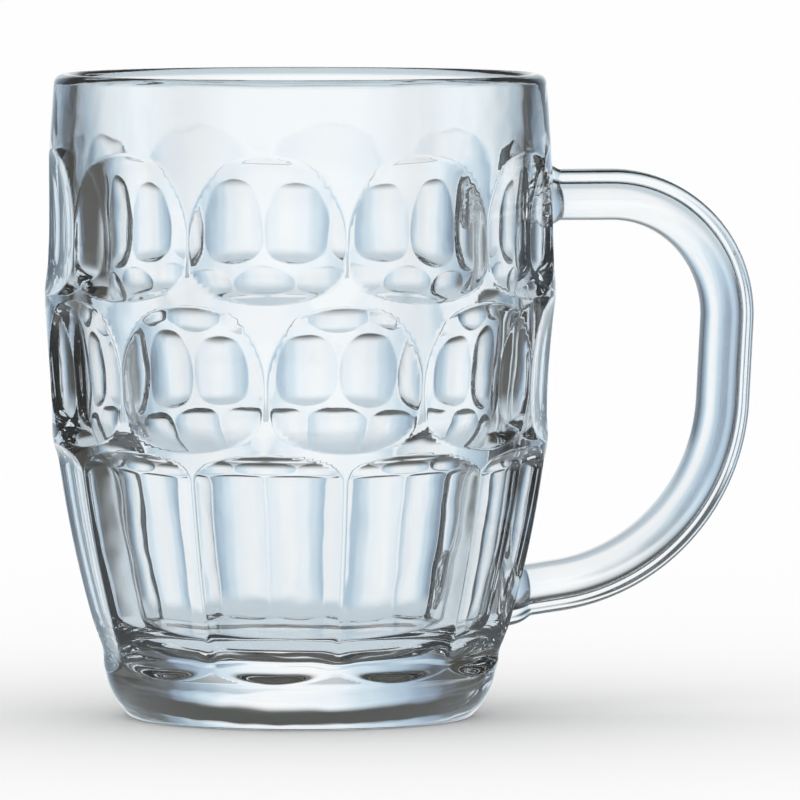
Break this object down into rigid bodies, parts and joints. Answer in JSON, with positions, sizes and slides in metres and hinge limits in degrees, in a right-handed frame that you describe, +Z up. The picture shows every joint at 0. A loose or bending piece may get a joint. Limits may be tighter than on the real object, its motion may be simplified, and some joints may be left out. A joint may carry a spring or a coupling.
{
  "type": "dimpled glass beer mug",
  "caption": "Barrel-shaped beer mug of thick clear glass with rows of pressed dimples over long flutes, a heavy base and a glass loop handle fused to its side.",
  "frame": {"origin": "on the axis of the bowl, in the plane of the foot ring that stands on the table", "axes": "+Z up along the axis of the bowl, +X out through the middle of the handle"},
  "size_m": [0.1385, 0.0984, 0.124],
  "materials": {
    "clear_glass": "clear soda-lime glass, pressed and fire polished, very faint blue tint"
  },
  "bodies": {
    "root": {"mug_body": "clear_glass", "handle": "clear_glass"}
  },
  "joints": []
}
